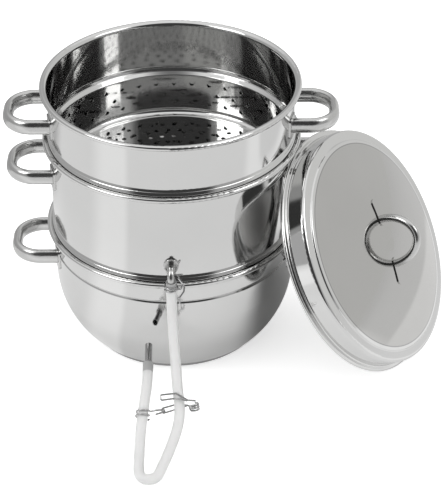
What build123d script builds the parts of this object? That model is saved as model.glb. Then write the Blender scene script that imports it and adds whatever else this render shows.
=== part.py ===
from build123d import *
from math import acos, cos, pi, radians, sin, sqrt, tan
import os

# Steam juicer: a water pan, a juice kettle and a fruit basket stacked on each other, the lid
# leaning against them, and the drain hose with its wire clips.
# Millimetres, +Z up, origin at the centre of the face that the pan stands on.
# The drain faces -Y, the handles lie along X, the lid leans on the +X side.

# Sheet and stack
steel = 0.8
body_radius = 129.5
pan_top = 136.0
kettle_top = 240.0
basket_top = 301.0
sheet_mid = steel / 2
wall_mid = body_radius - sheet_mid
overrun = 5.0

# Flared and curled rim, one for all three vessels
flare_radius = 4.8
curl_radius = 2.3
curl_flat = 0.2
curl_depth = 4.8
curl_inset = 3.6
rim_reach = wall_mid + flare_radius + curl_flat + curl_radius
curl_end = wall_mid + curl_inset
rim_outer = rim_reach + sheet_mid

# Stacking bead and nested wall of the two upper vessels
seat_gap = 0.3
nest_step = 2.3
bead_out = 1.7
nest_mid = wall_mid - nest_step
bead_mid = wall_mid + bead_out
bead_height = 4.2
bead_blend = 3.0
bead_fillet = 2.0
seat_line = (
    wall_mid + flare_radius + sheet_mid + flare_radius
    - sqrt(2) * (flare_radius + sheet_mid + seat_gap + sheet_mid)
)

# Water pan
foot_step = 33.5
base_radius = body_radius - foot_step
base_height = 5.5
cap_sheet = 0.6
floor_overhang = 3.8
pan_floor_radius = base_radius + floor_overhang
pan_floor_fillet = 6.0
bowl_corner = 38.3
bowl_radius = 104.0
groove_height = 109.0
groove_depth = 1.2
groove_half = 2.0
groove_fillet = 0.9

# Juice kettle
kettle_floor = 127.0
cone_step = 14.8
kettle_cone_radius = nest_mid - cone_step
kettle_crown = 146.0
kettle_crown_radius = 60.0
chimney_hole = 42.0
cone_fillet = 12.0
nest_fillet = 3.2

# Steam chimney
chimney_flange = 56.0
chimney_foot = 48.0
chimney_mouth = 28.0
chimney_top = 181.0
chimney_fillet = 5.0
chimney_curl = 1.6

# Fruit basket
basket_floor = 188.0
basket_fillet = 7.0
hole_radius = 2.5
hole_pitch = 12.5
hole_edge = 12.0
hole_rings = int((nest_mid - basket_fillet - hole_radius - hole_edge) / hole_pitch)
side_hole_count = 40
side_hole_rows = 3
side_hole_pitch = 12.0
side_hole_start = 14.0

# Oval tube handles and their plates
tube_width = 11.0
tube_height = 16.5
tube_wall = 1.0
handle_out = 47.1
handle_reach = body_radius + handle_out
handle_half = 32.0
handle_corner = 26.5
pan_handle_drop = 34.0
stack_handle_drop = 37.3
plate_sheet = 1.5
plate_width = 21.0
plate_height = 25.0
plate_corner = 5.0
handle_mid = handle_reach - tube_width / 2
plate_radius = body_radius + plate_sheet

# Drain tube and its collar
outlet_radius = 3.9
outlet_bore = 2.9
outlet_out = 16.5
outlet_reach = body_radius + outlet_out
outlet_bend = 9.0
outlet_tail = 20.0
outlet_inset = 3.0
outlet_hole_gap = 0.1
flange_radius = 8.0
flange_height = 2.4
flange_fillet = 0.8
flange_gap = 5.1
outlet_height = pan_top + bead_height + bead_blend + flange_gap + flange_radius

# Lid and the way that it leans
lid_overhang = 3.4
lid_radius = body_radius + lid_overhang
lid_wall_step = 5.7
lid_wall_radius = lid_radius - lid_wall_step
lid_hem = 3.6
lid_hem_radius = 1.7
lid_hem_return = 4.2
lid_shoulder = 26.5
lid_shoulder_radius = 3.5
lid_foot_fillet = 1.8
lid_ledge_width = 11.2
lid_ledge_radius = lid_wall_radius - lid_ledge_width
lid_step = 1.4
lid_step_fillet = 1.2
lid_face_run = 3.6
lid_step_top = lid_ledge_radius - lid_step
lid_face_radius = lid_step_top - lid_face_run
lid_dome = 14.1
lid_turn = -26.0
lid_azimuth = -11.8
lid_tuck = 12.2
lid_steepest_share = 0.857
lid_stand = 2.5

# Lid handle
arch_half = 24.8
arch_rise = 34.6
arch_tube = 4.2
arch_span = 180.0
arch_turn = 73.0
foot_length = 30.0
foot_width = 10.0
foot_sheet = 1.2
foot_overlap = 7.0

# Hose, its route, and the filling tube in its free end
hose_radius = 5.5
hose_bore = 4.0
hose_rest = 5.6
hose_start = 146.5
hose_route = [
    (0.0, -outlet_reach, hose_start),
    (0.0, -146.0, 119.0),
    (1.0, -154.5, 97.0),
    (3.2, -176.5, 76.0),
    (5.8, -203.5, 52.0),
    (9.3, -227.5, 33.5),
    (0.8, -251.0, 18.0),
    (-7.6, -268.0, 8.8),
    (-12.8, -289.4, hose_rest),
    (-34.2, -287.9, hose_rest),
    (-34.6, -262.0, 10.5),
    (-31.8, -236.5, 27.5),
    (-27.8, -212.5, 46.0),
    (-25.1, -195.0, 58.0),
    (-25.0, -172.7, 62.5),
]
clamp_run = 4
ring_run = 11
run_share = 0.45
tip_inside = 13.0
tip_length = 38.5
tip_radius = 3.9
tip_bore = 3.1

# Wire of the clips on the hose
wire_radius = 0.95
wire_gap = 0.25
wire_bend = 1.5
gap_points = 48

# Clip on the drain: each ear's corners are shares of the clip's radius and height, to the
# back, to the left and up the hose
clip_drop = 4.2
clip_pitch = 3.6
clip_turns = 1.5
lower_ear_shares = [(1.0, -2.0, 0.0), (0.6, -1.9, -1.0), (0.2, -1.3, -1.9), (0.1, -1.2, -3.2)]
upper_ear_shares = [(-1.0, -1.5, 1.0), (-0.7, -1.8, 1.9), (0.3, -1.1, 2.3)]

# Pinch clamp: each corner is a share of the fingers' reach, the clamp's radius and the
# fingers' width, to the right, to the front and down the hose
clamp_gap = 0.65
finger_reach = 18.2
finger_width = 5.4
spring_out = 15.5
spring_radius = 4.0
spring_pitch = 2.6
spring_turns = 2.5
spring_top = 1.3
arm_gap = 0.1
lever_gap = 0.3
lever_lap = 1.5
lever_shares = [
    (0.5, 0.8, -0.32), (-0.11, 1.0, -1.85), (-1.0, 1.0, -1.9), (-1.0, 1.0, -0.86),
    (-0.22, 1.0, -0.9), (0.16, 1.22, -0.48), (0.47, 1.22, -0.08),
]
frame_shares = [
    (0.6, -0.6, 1.35), (0.53, -0.82, 0.2), (-0.17, -1.0, -0.37), (-1.0, -1.0, 0.08),
    (-1.0, -1.0, 1.08), (-0.22, -1.0, 0.6), (0.1, -1.31, 0.25), (0.42, -1.31, 0.05),
]

# Ring on the free limb, and its hook in shares of the clamp's sizes
ring_gap = 0.5
ring_pitch = 4.4
ring_turns = 2.0
hook_lead_share = 0.5
hook_shares = [
    (-1.36, -0.68, 0.4), (-0.87, -0.68, 0.5), (-0.87, -1.32, 0.7), (-1.4, -1.32, 1.0),
]
ring_radius = hose_radius + wire_radius + ring_gap

os.makedirs("parts", exist_ok=True)


def save(part, name):
    """Labels a finished piece and writes it under its own name."""
    part.label = name
    export_step(part, f"parts/{name}.step")


def rim_points(top):
    """Corners of a vessel's flared rim, from the wall round the curl."""
    lip = top - sheet_mid
    return [
        (wall_mid, lip),
        (rim_reach, lip),
        (rim_reach, lip - curl_depth),
        (curl_end, lip - curl_depth),
    ]


rim_radii = [flare_radius, curl_radius, curl_radius]


def stacking_points(lower_top):
    """Corners of the seat and the bead, from the nested wall up to the body."""
    seat_low = lower_top + nest_mid - seat_line
    seat_high = lower_top + bead_mid - seat_line
    return [
        (nest_mid, seat_low),
        (bead_mid, seat_high),
        (bead_mid, lower_top + bead_height),
        (wall_mid, lower_top + bead_height + bead_blend),
    ]


stacking_radii = [bead_fillet, bead_fillet, bead_fillet, bead_fillet]


def revolve_sheet(points, radii):
    """Turns a bent sheet about the Z axis, from the corners of its middle line."""
    with BuildPart() as turned:
        with BuildSketch(Plane.XZ) as profile:
            with BuildLine():
                FilletPolyline(*points, radius=radii)
                offset(amount=sheet_mid, side=Side.BOTH)
            make_face()
            with Locations((rim_outer, basket_top / 2)):
                Rectangle(2 * rim_outer, 2 * basket_top, mode=Mode.INTERSECT)
        revolve(axis=Axis.Z)
    return turned


# Water pan
pan_points = [
    (-overrun, base_height + sheet_mid),
    (pan_floor_radius, base_height + sheet_mid),
    (wall_mid, bowl_corner),
    (wall_mid, groove_height - groove_half),
    (wall_mid - groove_depth, groove_height),
    (wall_mid, groove_height + groove_half),
] + rim_points(pan_top)
pan_radii = [pan_floor_fillet, bowl_radius, groove_fillet, groove_fillet, groove_fillet] + rim_radii
pan_shell = revolve_sheet(pan_points, pan_radii)
save(pan_shell.part, "pan_shell")

with BuildPart() as pan_base_core:
    with BuildSketch(Plane.XY.offset(cap_sheet)):
        Circle(base_radius - cap_sheet)
    extrude(amount=base_height - cap_sheet)
save(pan_base_core.part, "pan_base_core")

with BuildPart() as pan_base_cap:
    with BuildSketch(Plane.XY):
        Circle(base_radius)
    extrude(amount=base_height)
    fillet(pan_base_cap.edges().group_by(Axis.Z)[0], radius=cap_sheet)
    with BuildSketch(Plane.XY.offset(cap_sheet)):
        Circle(base_radius - cap_sheet)
    extrude(amount=base_height, mode=Mode.SUBTRACT)
save(pan_base_cap.part, "pan_base_cap")

# Juice kettle
kettle_points = [
    (chimney_hole, kettle_crown + sheet_mid),
    (kettle_crown_radius, kettle_crown + sheet_mid),
    (kettle_cone_radius, kettle_floor + sheet_mid),
    (nest_mid, kettle_floor + sheet_mid),
] + stacking_points(pan_top) + rim_points(kettle_top)
kettle_radii = [cone_fillet, cone_fillet, nest_fillet] + stacking_radii + rim_radii
with BuildPart() as kettle_shell:
    add(revolve_sheet(kettle_points, kettle_radii).part)
    with BuildSketch(Plane.XZ):
        with Locations((0, outlet_height)):
            Circle(outlet_radius + outlet_hole_gap)
    extrude(amount=outlet_reach, mode=Mode.SUBTRACT)
save(kettle_shell.part, "kettle_shell")

# Steam chimney, its flange flat on the kettle's crown
chimney_seat = kettle_crown + steel
chimney_points = [
    (chimney_flange, chimney_seat + sheet_mid),
    (chimney_foot, chimney_seat + sheet_mid),
    (chimney_mouth, chimney_top - sheet_mid),
    (chimney_mouth - 2 * chimney_curl, chimney_top - sheet_mid),
]
steam_chimney = revolve_sheet(chimney_points, [chimney_fillet, chimney_curl])
save(steam_chimney.part, "steam_chimney")

# Fruit basket
basket_points = [
    (-overrun, basket_floor + sheet_mid),
    (nest_mid, basket_floor + sheet_mid),
] + stacking_points(kettle_top) + rim_points(basket_top)
basket_radii = [basket_fillet] + stacking_radii + rim_radii
with BuildPart() as basket_shell:
    add(revolve_sheet(basket_points, basket_radii).part)
    with BuildSketch(Plane.XY.offset(basket_floor - overrun)):
        Circle(hole_radius)
        for ring in range(1, hole_rings + 1):
            with PolarLocations(ring * hole_pitch, 6 * ring):
                Circle(hole_radius)
    extrude(amount=2 * overrun, mode=Mode.SUBTRACT)
    for row in range(side_hole_rows):
        row_height = basket_floor + side_hole_start + row * side_hole_pitch
        turn = (row % 2) * 180 / side_hole_count
        for index in range(side_hole_count // 2):
            angle = turn + index * 360 / side_hole_count
            with BuildSketch(Plane.YZ.rotated((0, 0, angle))):
                with Locations((0, row_height)):
                    Circle(hole_radius)
            extrude(amount=body_radius, both=True, mode=Mode.SUBTRACT)
save(basket_shell.part, "basket_shell")


def loop_handle(height):
    """Oval tube loop on the +X side, its ends fitted to the plates on the wall."""
    root = body_radius - tube_width
    with BuildPart() as loop:
        with BuildLine(Plane.XY.offset(height)):
            FilletPolyline(
                (root, -handle_half), (handle_mid, -handle_half),
                (handle_mid, handle_half), (root, handle_half),
                radius=handle_corner,
            )
        with BuildSketch(Plane((root, -handle_half, height), x_dir=(0, 1, 0), z_dir=(1, 0, 0))):
            Ellipse(tube_width / 2, tube_height / 2)
            Ellipse(tube_width / 2 - tube_wall, tube_height / 2 - tube_wall, mode=Mode.SUBTRACT)
        sweep()
        with Locations((0, 0, height)):
            Cylinder(plate_radius, 2 * tube_height, mode=Mode.SUBTRACT)
    return loop


def wall_plates(height):
    """Four curved plates on the wall, one at each end of the two loops."""
    with BuildPart() as plates:
        with BuildSketch(Plane.XY.offset(height - plate_height / 2)):
            Circle(plate_radius)
            Circle(body_radius, mode=Mode.SUBTRACT)
        extrude(amount=plate_height)
        with BuildSketch(Plane.YZ):
            with Locations((-handle_half, height), (handle_half, height)):
                RectangleRounded(plate_width, plate_height, plate_corner)
        extrude(amount=plate_radius, both=True, mode=Mode.INTERSECT)
    return plates


# Handles of the three vessels
handle_heights = {
    "pan": pan_top - pan_handle_drop,
    "kettle": kettle_top - stack_handle_drop,
    "basket": basket_top - stack_handle_drop,
}
for vessel, handle_height in handle_heights.items():
    right_loop = loop_handle(handle_height)
    with BuildPart() as left_loop:
        mirror(right_loop.part, about=Plane.YZ)
    save(right_loop.part, f"{vessel}_handle_right")
    save(left_loop.part, f"{vessel}_handle_left")
    save(wall_plates(handle_height).part, f"{vessel}_handle_plates")

# Drain tube through the kettle's wall, bent down for the hose
outlet_start = outlet_inset - body_radius
with BuildPart() as juice_outlet:
    with BuildLine():
        FilletPolyline(
            (0, outlet_start, outlet_height), (0, -outlet_reach, outlet_height),
            (0, -outlet_reach, outlet_height - outlet_tail),
            radius=outlet_bend,
        )
    with BuildSketch(Plane((0, outlet_start, outlet_height), z_dir=(0, -1, 0))):
        Circle(outlet_radius)
        Circle(outlet_bore, mode=Mode.SUBTRACT)
    sweep()
save(juice_outlet.part, "juice_outlet")

with BuildPart() as outlet_flange:
    with BuildSketch(Plane((0, -body_radius - flange_height, outlet_height), z_dir=(0, 1, 0))):
        Circle(flange_radius)
    extrude(amount=flange_height + flange_radius)
    fillet(outlet_flange.edges().group_by(Axis.Y)[0], radius=flange_fillet)
    with BuildSketch(Plane((0, -body_radius - flange_height, outlet_height), z_dir=(0, 1, 0))):
        Circle(outlet_radius + outlet_hole_gap)
    extrude(amount=flange_height + flange_radius, mode=Mode.SUBTRACT)
    with Locations((0, 0, outlet_height)):
        Cylinder(body_radius, 4 * flange_radius, mode=Mode.SUBTRACT)
save(outlet_flange.part, "outlet_flange")

# Lid: its lowest point on the floor, its upper edge on the kettle's wall just under the rim.
# In the plane of its rim the side direction is level and the up direction climbs the lean.
lid_climb = (kettle_top - lid_tuck) / (2 * lid_radius)
lean = acos(min(lid_climb, lid_steepest_share))
turn = radians(lid_turn)
azimuth = radians(lid_azimuth)
lid_bend = lid_hem_radius + sheet_mid
lid_height = (lid_radius - lid_bend) * cos(lean) + lid_bend - lid_bend * sin(lean)
lid_distance = body_radius + lid_radius * sin(lean) + lid_stand
lid_centre = Vector(lid_distance * cos(azimuth), lid_distance * sin(azimuth), lid_height)
lid_out = Vector(cos(lean) * cos(turn), cos(lean) * sin(turn), sin(lean))
lid_side = Vector(-sin(turn), cos(turn), 0)
lid_up = lid_out.cross(lid_side)
lid_profile_plane = Plane(lid_centre, x_dir=lid_side, z_dir=lid_side.cross(lid_out))
lid_wall_mid = lid_wall_radius - sheet_mid
dome_radius = (lid_face_radius**2 + lid_dome**2) / (2 * lid_dome)
dome_slope = lid_face_radius / sqrt(dome_radius**2 - lid_face_radius**2)
lid_face_edge = lid_shoulder + lid_step + lid_face_run * dome_slope
lid_crown = lid_face_edge + lid_dome
with BuildPart() as lid_shell:
    with BuildSketch(lid_profile_plane):
        with BuildLine():
            FilletPolyline(
                (lid_radius - sheet_mid - lid_hem_return, sheet_mid),
                (lid_radius - sheet_mid, sheet_mid),
                (lid_radius - sheet_mid, sheet_mid + lid_hem),
                (lid_wall_mid, sheet_mid + lid_hem),
                (lid_wall_mid, lid_shoulder),
                (lid_ledge_radius, lid_shoulder),
                (lid_step_top, lid_shoulder + lid_step),
                (lid_face_radius, lid_face_edge),
                radius=[
                    lid_hem_radius, lid_hem_radius, lid_foot_fillet, lid_shoulder_radius,
                    lid_step_fillet, lid_step_fillet,
                ],
            )
            ThreePointArc(
                (lid_face_radius, lid_face_edge), (0, lid_crown), (-lid_face_radius, lid_face_edge),
            )
            offset(amount=sheet_mid, side=Side.BOTH)
        make_face()
        with Locations((lid_radius, lid_crown)):
            Rectangle(2 * lid_radius, 4 * lid_crown, mode=Mode.INTERSECT)
    revolve(axis=Axis(lid_centre, lid_out))
save(lid_shell.part, "lid_shell")

# Lid handle: an arched tube on two feet that lie on the dome
arch_along = lid_side * cos(radians(arch_turn)) + lid_up * sin(radians(arch_turn))
dome_centre = lid_centre + lid_out * (lid_crown - dome_radius)
face_centre = lid_centre + lid_out * (lid_crown + sheet_mid)
foot_top = dome_radius + sheet_mid + foot_sheet
foot_place = arch_half + foot_length / 2 - foot_overlap
with BuildPart() as lid_handle:
    with BuildLine(Plane(face_centre, x_dir=arch_along, z_dir=arch_along.cross(lid_out))):
        EllipticalCenterArc((0, 0), arch_half, arch_rise, start_angle=0, arc_size=arch_span)
    with BuildSketch(Plane(face_centre + arch_along * arch_half, z_dir=lid_out)):
        Circle(arch_tube)
    sweep()
    with Locations(dome_centre):
        Sphere(foot_top, mode=Mode.SUBTRACT)
save(lid_handle.part, "lid_handle")

with BuildPart() as lid_handle_feet:
    with BuildSketch(Plane(face_centre, x_dir=arch_along, z_dir=lid_out)):
        with Locations((-foot_place, 0), (foot_place, 0)):
            SlotOverall(foot_length, foot_width)
    extrude(amount=foot_length / 2, both=True)
    with Locations(dome_centre):
        Sphere(foot_top, mode=Mode.INTERSECT)
    with Locations(dome_centre):
        Sphere(dome_radius + sheet_mid, mode=Mode.SUBTRACT)
save(lid_handle_feet.part, "lid_handle_feet")


def route_radii(points):
    """Bend radius at each inner point of a route, as large as its two runs allow."""
    radii = []
    for before, here, after in zip(points, points[1:], points[2:]):
        run_in = Vector(here) - Vector(before)
        run_out = Vector(after) - Vector(here)
        half_turn = radians(run_in.get_angle(run_out)) / 2
        radii.append(run_share * min(run_in.length, run_out.length) / tan(half_turn))
    return radii


# Hose
hose_radii = route_radii(hose_route)
print("hose bend radii", [round(radius, 1) for radius in hose_radii])
hose_down = Vector(hose_route[1]) - Vector(hose_route[0])
with BuildPart() as juice_hose:
    with BuildLine() as hose_line:
        FilletPolyline(*hose_route, radius=hose_radii)
    with BuildSketch(Plane(hose_route[0], z_dir=hose_down)):
        Circle(hose_radius)
        Circle(hose_bore, mode=Mode.SUBTRACT)
    sweep()
save(juice_hose.part, "juice_hose")
hose_length = sum(edge.length for edge in hose_line.edges())
hose_section = pi * (hose_radius**2 - hose_bore**2)
print("hose length", round(hose_length, 1), "volume", round(juice_hose.part.volume))
print("section times length", round(hose_section * hose_length))

# Filling tube in the free end of the hose
tip_along = (Vector(hose_route[-1]) - Vector(hose_route[-2])).normalized()
with BuildPart() as hose_tip:
    with BuildSketch(Plane(Vector(hose_route[-1]) - tip_along * tip_inside, z_dir=tip_along)):
        Circle(tip_radius)
        Circle(tip_bore, mode=Mode.SUBTRACT)
    extrude(amount=tip_length)
save(hose_tip.part, "hose_tip")


def run_plane(index):
    """Plane at the middle of one run of the hose: Z runs along it, X points to the right."""
    start = Vector(hose_route[index])
    end = Vector(hose_route[index + 1])
    along = (end - start).normalized()
    right = Vector(1, 0, 0) - along * along.X
    return Plane((start + end) / 2, x_dir=right, z_dir=along)


def wire_piece(start, corners):
    """A wire that starts at a plane, along its Z, and is bent at each corner but the last."""
    with BuildPart() as wire:
        with BuildLine():
            FilletPolyline(start.origin, *corners, radius=wire_bend)
        with BuildSketch(start):
            Circle(wire_radius)
        sweep()
    return wire


def coil_edge(plane, radius, pitch, turns, lefthand=False):
    """Middle line of a coil that climbs the plane's Z from the side that its X points to."""
    with BuildLine() as turned:
        Helix(pitch, pitch * turns, radius, lefthand=lefthand)
    return plane.from_local_coords(turned.edges()[0])


def least_gap(edge, turns):
    """Least clear space between a coil's turns, measured on points along it."""
    count = round(gap_points * turns)
    points = [edge @ (index / count) for index in range(count + 1)]
    apart = gap_points // 2
    distances = [
        (there - here).length
        for index, here in enumerate(points)
        for there in points[index + apart:]
    ]
    return min(distances) - 2 * wire_radius


def coil_piece(edge, turns, name):
    """A wire along one coil, whose least gap to itself is printed."""
    print(name, "least gap between turns", round(least_gap(edge, turns), 2))
    with BuildPart() as coil:
        with BuildSketch(Plane(edge @ 0, z_dir=edge % 0)):
            Circle(wire_radius)
        sweep(path=edge, is_frenet=True)
    return coil


def placed(plane, shares, sizes):
    """Corners in the plane's own directions, each a share of three sizes."""
    return [
        plane.from_local_coords(tuple(share * size for share, size in zip(corner, sizes)))
        for corner in shares
    ]


# Wire clip that holds the hose on the drain tube, its two ears out to the right
clip_radius = hose_radius + wire_radius + wire_gap
clip_height = clip_pitch * clip_turns
clip_low = Plane(
    Vector(hose_route[0]) + hose_down.normalized() * (clip_drop + clip_height),
    x_dir=(0, 1, 0), z_dir=-hose_down,
)
clip_edge = coil_edge(clip_low, clip_radius, clip_pitch, clip_turns)
clip_sizes = (clip_radius, clip_radius, clip_height)
lower_start = Plane(clip_edge @ 0, z_dir=-(clip_edge % 0))
upper_start = Plane(clip_edge @ 1, z_dir=clip_edge % 1)
with BuildPart() as hose_clip:
    add(coil_piece(clip_edge, clip_turns, "hose_clip").part)
    add(wire_piece(lower_start, placed(clip_low, lower_ear_shares, clip_sizes)).part)
    add(wire_piece(upper_start, placed(clip_low, upper_ear_shares, clip_sizes)).part)
save(hose_clip.part, "hose_clip")

# Pinch clamp: a coil beside the hose, a fixed arm from its end behind the hose, and a lever
# in front. In the clamp's plane X is to the right, Y to the front and Z down the hose.
clamp_plane = run_plane(clamp_run)
clamp_radius = hose_radius + wire_radius + clamp_gap
clamp_sizes = (finger_reach, clamp_radius, finger_width)
spring_plane = Plane(
    clamp_plane.from_local_coords((spring_out, 0, spring_top)),
    x_dir=clamp_plane.y_dir, z_dir=clamp_plane.z_dir,
)
spring_edge = coil_edge(spring_plane, spring_radius, spring_pitch, spring_turns, lefthand=True)
save(coil_piece(spring_edge, spring_turns, "clamp_spring").part, "clamp_spring")

arm_start = spring_edge @ 1 + spring_edge % 1 * arm_gap
arm_corners = placed(clamp_plane, frame_shares, clamp_sizes)
clamp_frame = wire_piece(Plane(arm_start, z_dir=spring_edge % 1), arm_corners)
save(clamp_frame.part, "clamp_frame")

lever_lift = spring_plane.z_dir * (2 * wire_radius + lever_gap)
lever_start = spring_edge @ 0 + spring_edge % 0 * lever_lap - lever_lift
lever_corners = placed(clamp_plane, lever_shares, clamp_sizes)
clamp_lever = wire_piece(Plane(lever_start, z_dir=-(spring_edge % 0)), lever_corners)
save(clamp_lever.part, "clamp_lever")

# Wire ring round the free limb of the hose, with a hook through the fixed arm's finger loop
ring_plane = run_plane(ring_run)
ring_height = ring_pitch * ring_turns
ring_low = Plane(
    ring_plane.from_local_coords((0, 0, -ring_height / 2)),
    x_dir=ring_plane.x_dir, z_dir=ring_plane.z_dir,
)
ring_edge = coil_edge(ring_low, ring_radius, ring_pitch, ring_turns)
hook_start = Plane(ring_edge @ 1, z_dir=ring_edge % 1)
hook_lead = ring_edge @ 1 + ring_edge % 1 * ring_radius * hook_lead_share
with BuildPart() as ring_clip:
    add(coil_piece(ring_edge, ring_turns, "ring_clip").part)
    add(wire_piece(hook_start, [hook_lead] + placed(clamp_plane, hook_shares, clamp_sizes)).part)
save(ring_clip.part, "ring_clip")
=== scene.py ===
import math

import bpy
from mathutils import Matrix, Vector

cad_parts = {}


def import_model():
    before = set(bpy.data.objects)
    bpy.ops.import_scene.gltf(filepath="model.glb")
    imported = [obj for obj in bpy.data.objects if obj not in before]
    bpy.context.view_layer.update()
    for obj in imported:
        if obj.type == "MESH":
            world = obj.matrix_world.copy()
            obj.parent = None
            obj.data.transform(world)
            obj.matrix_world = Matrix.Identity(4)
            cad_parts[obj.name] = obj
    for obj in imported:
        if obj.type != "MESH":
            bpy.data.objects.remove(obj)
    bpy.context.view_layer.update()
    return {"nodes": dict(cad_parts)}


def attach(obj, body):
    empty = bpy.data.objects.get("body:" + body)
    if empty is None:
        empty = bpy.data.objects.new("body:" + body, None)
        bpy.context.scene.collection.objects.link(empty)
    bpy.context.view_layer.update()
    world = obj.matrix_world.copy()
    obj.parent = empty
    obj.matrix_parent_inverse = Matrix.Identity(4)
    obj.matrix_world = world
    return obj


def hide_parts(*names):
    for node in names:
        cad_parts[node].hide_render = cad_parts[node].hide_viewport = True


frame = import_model()
nodes = frame["nodes"]

MM = 0.001
IMAGE_HEIGHT = 486

# Camera: a long lens, well above the rims, looking along +Y. Lengths in metres
FOCAL_PIXELS = 1948.75
SENSOR_MM = 36.0
VIEW_ELEVATION = math.radians(33.95)
VIEW_ROLL = math.radians(-0.40)
VIEW_DISTANCE = 2.1946
VIEW_RIGHT = 0.05127
VIEW_UP = 0.07966
VIEW_END = 50

# Hose, in millimetres: its route runs from the drain tube to the filling tube
HOSE_RADIUS = 5.5
HOSE_BORE = 4.0
HOSE_ROUTE = [
    (0.0, -146.0, 146.5),
    (0.0, -146.0, 119.0),
    (1.0, -154.5, 97.0),
    (3.2, -176.5, 76.0),
    (5.8, -203.5, 52.0),
    (8.6, -222.5, 37.4),
    (5.2, -239.0, 26.5),
    (-2.5, -257.0, 15.0),
    (-9.5, -273.0, 8.0),
    (-15.3, -289.2, 5.6),
    (-33.0, -288.1, 5.6),
    (-33.2, -262.0, 10.5),
    (-31.8, -236.5, 27.5),
    (-27.8, -212.5, 46.0),
    (-25.1, -195.0, 58.0),
    (-25.0, -172.7, 62.5),
]
ROUTE_STEPS = 24
TUBE_SIDES = 32
OUTLET_INSIDE = 7.0
TIP_INSIDE = 13.0
TUBE_END_BLUR = 1.5

# Finishes
STEEL = (0.66, 0.66, 0.655)
AROUND_THE_BODY = (0.15, 0.15, 9.0)
WORN_SHARE = 0.965
WEAR_GLOSS = (0.8, 1.25)
LINE_GLOSS = 0.15
LINE_STRENGTH = 0.03
LINE_DEPTH = 0.0002
# Painted shade on the hose over a steel tube inside it, and how much of it shows
PAINTED_TUBE_SHADE = (0.42, 0.42, 0.42)
TUBE_SHADE_SHARE = 0.75

# The upright faces of the two stacking beads: their heights in millimetres, and their lean as a slope
BEADS = ((240.3, 244.8), (136.3, 140.8))
BEAD_LEAN = 0.5

# The lid's axis, and its face, crease and band, in metres; and the painted shade that darkens its
# face and its crease
LID_AXIS = (0.770266, -0.375684, 0.515316)
LID_CENTRE = (0.196249, -0.040999, 0.113113)
LID_FACE = 0.1110
FACE_PAINTED_SHADE = (0.75, 0.745, 0.735)
BAND_BLUR = 0.0008
CREASE_PAINTED_SHADE = (0.2, 0.2, 0.2)
CREASE_SHADE_STRENGTH = 0.6
CREASE_HALF = 0.0006


class Graph:
    """Short words for building one node tree."""

    def __init__(self, owner):
        owner.use_nodes = True
        self.tree = owner.node_tree
        self.tree.nodes.clear()

    def node(self, kind, values=(), **settings):
        """A node with its settings and input values, and its links where a value is a socket."""
        made = self.tree.nodes.new(kind)
        for name, value in settings.items():
            setattr(made, name, value)
        for key, value in dict(values).items():
            if isinstance(value, bpy.types.NodeSocket):
                self.tree.links.new(value, made.inputs[key])
            else:
                made.inputs[key].default_value = value
        return made

    def ramp(self, factor, stops):
        """A colour ramp over grey or coloured stops."""
        made = self.node("ShaderNodeValToRGB", {"Fac": factor})
        elements = made.color_ramp.elements
        while len(elements) < len(stops):
            elements.new(0.5)
        for element, (place, colour) in zip(elements, stops):
            grey = not isinstance(colour, tuple)
            element.position = place
            element.color = (colour, colour, colour, 1) if grey else (*colour, 1)
        return made.outputs["Color"]

    def spread(self, value, span, start=0.0, end=1.0, kind="LINEAR"):
        """Takes a number from start to end while the value crosses a span."""
        low, high = span
        made = self.node(
            "ShaderNodeMapRange",
            {"Value": value, "From Min": low, "From Max": high, "To Min": start, "To Max": end},
            interpolation_type=kind,
        )
        return made.outputs["Result"]

    def step(self, value, span, start=0.0, end=1.0):
        """Takes a number from start to end with soft ends."""
        return self.spread(value, span, start, end, "SMOOTHSTEP")

    def maths(self, operation, first, second):
        """One sum on two numbers."""
        made = self.node("ShaderNodeMath", {0: first, 1: second}, operation=operation)
        return made.outputs["Value"]

    def plus(self, first, second):
        return self.maths("ADD", first, second)

    def minus(self, first, second):
        return self.maths("SUBTRACT", first, second)

    def times(self, first, second):
        return self.maths("MULTIPLY", first, second)

    def vector(self, operation, first, second=(0, 0, 0)):
        """One sum on two vectors: the node, whose number or vector is then read."""
        return self.node("ShaderNodeVectorMath", {0: first, 1: Vector(second)}, operation=operation)

    def mix(self, factor, first, second, blend="MIX"):
        """A colour between two colours. The second is written as a plain triple where it is fixed."""
        if isinstance(second, tuple):
            second = (*second, 1)
        made = self.node(
            "ShaderNodeMix", {0: factor, 6: first, 7: second}, data_type="RGBA", blend_type=blend
        )
        return made.outputs[2]

    def noise(self, place, scale, detail, **settings):
        """A noise from 0 to 1."""
        values = {"Vector": place, "Scale": scale, "Detail": detail, **settings}
        return self.node("ShaderNodeTexNoise", values).outputs["Fac"]

    def surface(self, values):
        """The principled shader of a surface, led to the output."""
        shader = self.node("ShaderNodeBsdfPrincipled", values)
        self.node("ShaderNodeOutputMaterial", {"Surface": shader.outputs["BSDF"]})


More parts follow.
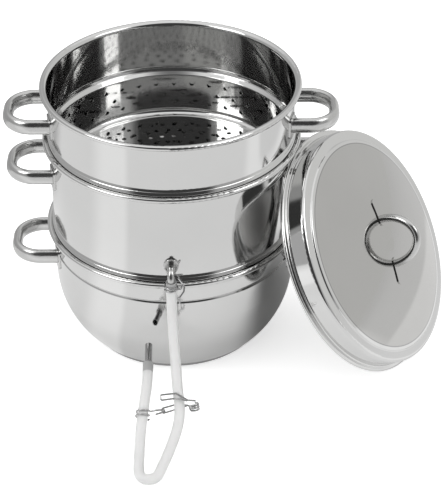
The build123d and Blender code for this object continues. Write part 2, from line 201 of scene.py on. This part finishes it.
def polished_steel(
    name, colour, roughness, grain, lines, axis_scale=(1, 1, 1), beads=(), shade=None
):
    """Bright sheet: faint cloudy wear in its gloss, and fine polishing lines along one direction.

    Between the heights of each bead the sheet leans back a little. Shade, where given, paints
    light and shade into the colour from place to place."""
    made = bpy.data.materials.new(name)
    graph = Graph(made)
    place = graph.node("ShaderNodeTexCoord").outputs["Object"]
    clouds = graph.noise(place, grain, 4.0)
    stretched = graph.node(
        "ShaderNodeMapping", {"Vector": place, "Scale": Vector(axis_scale)}
    ).outputs["Vector"]
    fine = graph.noise(stretched, lines, 3.0, Roughness=0.6)
    worn = tuple(WORN_SHARE * channel for channel in colour)
    tint = graph.ramp(clouds, [(0.3, worn), (0.7, colour)])
    # Where given, painted light and shade change the colour
    if shade:
        tint = shade(graph, place, tint)
    dullest, brightest = (share * roughness for share in WEAR_GLOSS)
    line_gloss = LINE_GLOSS * roughness
    gloss = graph.plus(
        graph.spread(clouds, (0.35, 0.7), dullest, brightest),
        graph.spread(fine, (0.4, 0.6), -line_gloss, line_gloss),
    )
    bump = graph.node(
        "ShaderNodeBump", {"Height": fine, "Strength": LINE_STRENGTH, "Distance": LINE_DEPTH}
    ).outputs["Normal"]
    height = graph.node("ShaderNodeSeparateXYZ", {0: place}).outputs["Z"]
    for low, high in beads:
        leaning = graph.spread(height, (low * MM, high * MM), 1.0, 0.0)
        depth = BEAD_LEAN * (high - low) * MM
        bump = graph.node(
            "ShaderNodeBump",
            {"Height": leaning, "Strength": 1.0, "Distance": depth, "Normal": bump},
        ).outputs["Normal"]
    graph.surface({"Base Color": tint, "Metallic": 1.0, "Roughness": gloss, "Normal": bump})
    return made


def lid_painted_shade(graph, place, tint):
    """The lid's colour with painted shade: the face inside the crease painted darker, the band
    outside it left bright, and a thin ring of painted shade in the crease.
    """
    arm = graph.vector("SUBTRACT", place, LID_CENTRE).outputs["Vector"]
    square = graph.vector("CROSS_PRODUCT", arm, LID_AXIS).outputs["Vector"]
    radius = graph.vector("LENGTH", square).outputs["Value"]
    band = graph.step(radius, (LID_FACE - BAND_BLUR, LID_FACE + BAND_BLUR))
    # A thin ring of painted shade in the crease
    crease = graph.times(
        graph.step(radius, (LID_FACE - CREASE_HALF, LID_FACE), 0.0, CREASE_SHADE_STRENGTH),
        graph.step(radius, (LID_FACE + CREASE_HALF, LID_FACE + 2 * CREASE_HALF), 1.0, 0.0),
    )
    # Painted shade: the face inside the crease darker than the bright band outside it
    face = graph.mix(1.0, tint, FACE_PAINTED_SHADE, "MULTIPLY")
    return graph.mix(crease, graph.mix(band, face, tint), CREASE_PAINTED_SHADE)


def silicone():
    """Milky translucent hose wall with a dry sheen, with painted shade where a steel tube is inside
    it, standing for the steel seen through the wall.
    """
    made = bpy.data.materials.new("silicone")
    graph = Graph(made)
    place = graph.node("ShaderNodeTexCoord").outputs["Object"]
    cloud = graph.noise(place, 60.0, 3.0)
    tint = graph.ramp(cloud, [(0.3, (0.92, 0.92, 0.915)), (0.7, (0.95, 0.95, 0.945))])
    # Painted shade over each steel tube end inside the hose
    for end, depth in ((HOSE_ROUTE[-1], TIP_INSIDE), (HOSE_ROUTE[0], OUTLET_INSIDE)):
        away = graph.vector("DISTANCE", place, Vector(end) * MM).outputs["Value"]
        span = (depth * MM, (depth + TUBE_END_BLUR) * MM)
        inside = graph.step(away, span, TUBE_SHADE_SHARE, 0.0)
        tint = graph.mix(inside, tint, PAINTED_TUBE_SHADE)
    graph.surface(
        {
            "Base Color": tint,
            "Roughness": graph.spread(cloud, (0.3, 0.7), 0.32, 0.44),
            "IOR": 1.41,
            "Transmission Weight": 0.42,
        }
    )
    return made


# Each steel: its colour, roughness, and the scales of its clouds and of its lines
MATERIALS = {
    "vessel": polished_steel(
        "vessel_steel", STEEL, 0.07, 14.0, 220.0, AROUND_THE_BODY, beads=BEADS
    ),
    "lid": polished_steel("lid_steel", (0.70, 0.70, 0.695), 0.07, 14.0, 260.0, shade=lid_painted_shade),
    "tube": polished_steel("tube_steel", (0.57, 0.57, 0.565), 0.19, 30.0, 400.0),
    "fitting": polished_steel("fitting_steel", (0.56, 0.56, 0.555), 0.24, 40.0, 500.0),
    "tip": polished_steel("tip_steel", (0.42, 0.42, 0.42), 0.20, 60.0, 500.0),
    "base": polished_steel("base_steel", (0.45, 0.45, 0.45), 0.25, 20.0, 300.0, AROUND_THE_BODY),
    "core": polished_steel("core_aluminium", (0.78, 0.79, 0.80), 0.35, 30.0, 300.0),
    "wire": polished_steel("wire_steel", (0.50, 0.50, 0.50), 0.20, 80.0, 600.0),
    "silicone": silicone(),
}
NODE_MATERIALS = {
    "pan_shell": "vessel",
    "kettle_shell": "vessel",
    "basket_shell": "vessel",
    "steam_chimney": "vessel",
    "pan_base_cap": "base",
    "pan_base_core": "core",
    "lid_shell": "lid",
    "lid_handle": "tube",
    "lid_handle_feet": "lid",
    "juice_outlet": "fitting",
    "outlet_flange": "fitting",
    "hose_tip": "tip",
    "hose_clip": "wire",
    "clamp_frame": "wire",
    "clamp_spring": "wire",
    "clamp_lever": "wire",
    "ring_clip": "wire",
}
for vessel in ("pan", "kettle", "basket"):
    for part in ("left", "right", "plates"):
        NODE_MATERIALS[f"{vessel}_handle_{part}"] = "tube"


def finish_nodes():
    """Gives every CAD node its finish."""
    for name, finish in NODE_MATERIALS.items():
        slots = nodes[name].data.materials
        slots.clear()
        slots.append(MATERIALS[finish])


def link(name, data):
    """A new object in the scene."""
    made = bpy.data.objects.new(name, data)
    bpy.context.scene.collection.objects.link(made)
    return made


def route_line():
    """The hose's centre line: points read along one smooth curve through its route."""
    curve = bpy.data.curves.new("route", "CURVE")
    curve.dimensions = "3D"
    curve.resolution_u = ROUTE_STEPS
    spline = curve.splines.new("NURBS")
    spline.points.add(len(HOSE_ROUTE) - 1)
    for point, place in zip(spline.points, HOSE_ROUTE):
        point.co = (*(MM * coordinate for coordinate in place), 1)
    spline.order_u = 3
    spline.use_endpoint_u = True
    carrier = link("route", curve)
    line = bpy.data.meshes.new_from_object(carrier)
    points = [vertex.co.copy() for vertex in line.vertices]
    bpy.data.objects.remove(carrier)
    bpy.data.meshes.remove(line)
    return points


def tube_mesh(name, points, radii):
    """A hollow tube along points, with its outer and inner radius and a ring across each end."""
    vertices = []
    ahead = (points[1] - points[0]).normalized()
    side = ahead.orthogonal().normalized()
    for index, point in enumerate(points):
        before = points[max(index - 1, 0)]
        after = points[min(index + 1, len(points) - 1)]
        direction = (after - before).normalized()
        side = (side - direction * side.dot(direction)).normalized()
        across = direction.cross(side)
        for radius in radii:
            for step in range(TUBE_SIDES):
                angle = 2 * math.pi * step / TUBE_SIDES
                arm = math.cos(angle) * side + math.sin(angle) * across
                vertices.append(point + radius * arm)

    def corner(index, wall, step):
        return (index * len(radii) + wall) * TUBE_SIDES + step % TUBE_SIDES

    def strip(first, second, flip):
        """Faces round the tube between two rings, each an index along it and a wall."""
        quads = [
            (corner(*first, step), corner(*first, step + 1),
             corner(*second, step + 1), corner(*second, step))
            for step in range(TUBE_SIDES)
        ]
        return [quad[::-1] for quad in quads] if flip else quads

    faces = []
    for index in range(len(points) - 1):
        faces += strip((index, 0), (index + 1, 0), False)
        faces += strip((index, 1), (index + 1, 1), True)
    faces += strip((0, 0), (0, 1), True)
    faces += strip((len(points) - 1, 0), (len(points) - 1, 1), False)
    mesh = bpy.data.meshes.new(name)
    mesh.from_pydata([tuple(vertex) for vertex in vertices], [], faces)
    mesh.polygons.foreach_set("use_smooth", [True] * len(mesh.polygons))
    return mesh


def hose():
    """The free hose, open at both ends, with the clips and the tube on it."""
    points = route_line()
    mesh = tube_mesh("hose", points, (HOSE_RADIUS * MM, HOSE_BORE * MM))
    mesh.materials.append(MATERIALS["silicone"])
    piece = link("hose", mesh)
    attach(piece, "kettle")
    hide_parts("juice_hose")


# Studio: the white sheet, in metres and shares of white. Past its corner on the right is a room
WHITE = (1, 1, 1)
SHEET_HALF = 6.0
SHEET_WHITE = 0.92
SHEET_EDGE = 0.51
SHEET_CORNER = -0.09
EDGE_BLUR = 0.015
CORNER_BLUR = 0.02
CAMERA_LIFT = 0.55
HOSE_LIFT = 0.25
MIRROR_SHARE = 0.5
MIRROR_LIFT = 0.33
ROOM_LIFT = 0.20

# How the mirrored sheet's painted light changes, as painted pools of light and painted shade: the
# amounts, and where each one starts and ends
POOL_LIFT = 0.17
POOL_START = (math.radians(33.5), math.radians(40))
POOL_END = (math.radians(56), math.radians(74))
SIDE_LIFT = 0.16
SIDE_START = (0.28, 0.34)
SIDE_DEPTH = (-0.26, -0.18)
BACK_LIFT = 0.36
BACK_START = (0.16, 0.30)
BACK_SIDE = (0.30, 0.42)
NEAR_LIFT = 0.09
NEAR_START = (0.125, 0.17)
NEAR_END = (0.26, 0.42)
LID_SHADE = (0.18, 0.015, 0.0)
LID_SHADE_REACH = (0.09, 0.16)

# The world: brightness by height, and a room and a dark gap around two directions
SKY_STOPS = [(0.0, 0.5), (0.45, 0.5), (0.65, 0.8), (0.8, 1.0), (1.0, 1.0)]
ROOM_TOWARDS = (0.90, 0.42, 0.10)
ROOM_REACH = (0.62, 0.80)
ROOM_TONE = (0.77, 0.77, 0.76)
GAP_TOWARDS = (0, -0.87, 0.49)
GAP_REACH = (0.76, 0.88)
GAP_TONE = (0.06, 0.06, 0.06)

# Each lamp: its name, place, the point that it faces, its side and its power
LAMPS = (
    ("left_box", (-1.3, -0.7, 1.5), (0, 0, 0.15), 0.9, 8),
    ("right_box", (1.4, -0.6, 1.7), (0.1, 0, 0.15), 0.9, 5),
)


def camera():
    """Sets up the camera at the photograph's viewing angle."""
    ahead = Vector((0, math.cos(VIEW_ELEVATION), -math.sin(VIEW_ELEVATION)))
    right = Vector((1, 0, 0))
    up = right.cross(ahead)
    place = VIEW_RIGHT * right + VIEW_UP * up - VIEW_DISTANCE * ahead
    rolled_right = math.cos(VIEW_ROLL) * right + math.sin(VIEW_ROLL) * up
    rolled_up = math.cos(VIEW_ROLL) * up - math.sin(VIEW_ROLL) * right
    data = bpy.data.cameras.new("camera")
    data.sensor_width = SENSOR_MM
    data.lens = FOCAL_PIXELS * SENSOR_MM / IMAGE_HEIGHT
    data.clip_end = VIEW_END
    rig = link("camera", data)
    turn = Matrix((rolled_right, rolled_up, -ahead)).transposed()
    rig.matrix_world = Matrix.Translation(place) @ turn.to_4x4()
    bpy.context.scene.camera = rig


def mirrored_sheet(graph):
    """How bright the sheet is in the steel's mirror, beyond what its own light gives: painted pools
    of light and painted shade, with a painted shadow beside the lid.
    """
    position = graph.node("ShaderNodeNewGeometry").outputs["Position"]
    place = graph.node("ShaderNodeSeparateXYZ", {0: position})
    across, deep = place.outputs["X"], place.outputs["Y"]
    flat = graph.node("ShaderNodeCombineXYZ", {0: across, 1: deep}).outputs[0]
    angle = graph.maths("ARCTAN2", graph.times(across, -1.0), graph.times(deep, -1.0))
    pool = graph.times(graph.step(angle, POOL_START), graph.step(angle, POOL_END, 1.0, 0.0))
    far = graph.vector("LENGTH", flat).outputs["Value"]
    near = graph.times(
        graph.step(far, NEAR_START, 0.0, NEAR_LIFT), graph.step(far, NEAR_END, 1.0, 0.0)
    )
    room = graph.times(
        graph.spread(across, (SHEET_EDGE - EDGE_BLUR, SHEET_EDGE + EDGE_BLUR)),
        graph.spread(deep, (SHEET_CORNER - CORNER_BLUR, SHEET_CORNER + CORNER_BLUR)),
    )
    side = graph.times(
        graph.step(across, SIDE_START, 0.0, SIDE_LIFT), graph.step(deep, SIDE_DEPTH)
    )
    back = graph.times(
        graph.step(deep, BACK_START, 0.0, BACK_LIFT), graph.step(across, BACK_SIDE, 1.0, 0.0)
    )
    bright = graph.plus(graph.plus(MIRROR_LIFT, graph.times(pool, POOL_LIFT)), near)
    bright = graph.minus(bright, graph.times(room, ROOM_LIFT))
    bright = graph.minus(graph.plus(bright, side), back)
    # Painted shadow of the lid on the mirrored sheet
    from_lid = graph.vector("DISTANCE", flat, LID_SHADE).outputs["Value"]
    return graph.times(bright, graph.step(from_lid, LID_SHADE_REACH))


def stage_floor():
    """The white sheet under the object. It is white to the camera and keeps the shadow."""
    half = SHEET_HALF
    corners = [(-half, -half, 0), (half, -half, 0), (half, half, 0), (-half, half, 0)]
    mesh = bpy.data.meshes.new("floor")
    mesh.from_pydata(corners, [], [(0, 1, 2, 3)])
    made = bpy.data.materials.new("floor")
    graph = Graph(made)
    path = graph.node("ShaderNodeLightPath")
    mirror = path.outputs["Is Glossy Ray"]
    grey = graph.spread(mirror, (0.0, 1.0), SHEET_WHITE, MIRROR_SHARE)
    colour = graph.node("ShaderNodeCombineColor", {0: grey, 1: grey, 2: grey}).outputs[0]
    matt = graph.node("ShaderNodeBsdfDiffuse", {"Color": colour})
    seen = graph.times(path.outputs["Is Camera Ray"], CAMERA_LIFT)
    behind = graph.times(path.outputs["Is Transmission Ray"], HOSE_LIFT)
    strength = graph.plus(graph.plus(seen, behind), graph.times(mirror, mirrored_sheet(graph)))
    lift = graph.node("ShaderNodeEmission", {"Color": (*WHITE, 1), "Strength": strength})
    both = graph.node("ShaderNodeAddShader", {0: matt.outputs[0], 1: lift.outputs[0]})
    graph.node("ShaderNodeOutputMaterial", {"Surface": both.outputs[0]})
    mesh.materials.append(made)
    link("floor", mesh)


def world():
    """White to the camera, and even light on matt surfaces. In the steel's mirror it has a
    bright ceiling, grey walls and a dark gap in front."""
    made = bpy.data.worlds.new("studio")
    graph = Graph(made)
    direction = graph.node("ShaderNodeTexCoord").outputs["Generated"]
    height = graph.node("ShaderNodeSeparateXYZ", {0: direction}).outputs["Z"]
    path = graph.node("ShaderNodeLightPath")
    matt = path.outputs["Is Diffuse Ray"]

    def near(middle, reach):
        towards = graph.vector("DOT_PRODUCT", direction, middle).outputs["Value"]
        return graph.step(towards, reach)

    walls = graph.mix(near(ROOM_TOWARDS, ROOM_REACH), graph.ramp(height, SKY_STOPS), ROOM_TONE)
    gap = graph.times(near(GAP_TOWARDS, GAP_REACH), graph.minus(1.0, matt))
    around = graph.mix(gap, graph.mix(matt, walls, WHITE), GAP_TONE)
    through = graph.maths(
        "MAXIMUM", path.outputs["Is Camera Ray"], path.outputs["Is Transmission Ray"]
    )
    colour = graph.mix(through, around, WHITE)
    sky = graph.node("ShaderNodeBackground", {"Color": colour, "Strength": 1.0})
    graph.node("ShaderNodeOutputWorld", {"Surface": sky.outputs[0]})
    bpy.context.scene.world = made


def lamp(name, place, target, size, power):
    """A square lamp that faces a point."""
    data = bpy.data.lights.new(name, "AREA")
    data.size = size
    data.energy = power
    aim = Vector(target) - Vector(place)
    turn = aim.to_track_quat("-Z", "Y").to_matrix().to_4x4()
    link(name, data).matrix_world = Matrix.Translation(place) @ turn


camera()
hose()
finish_nodes()
bpy.context.scene.view_settings.view_transform = "Standard"
world()
stage_floor()
for settings in LAMPS:
    lamp(*settings)
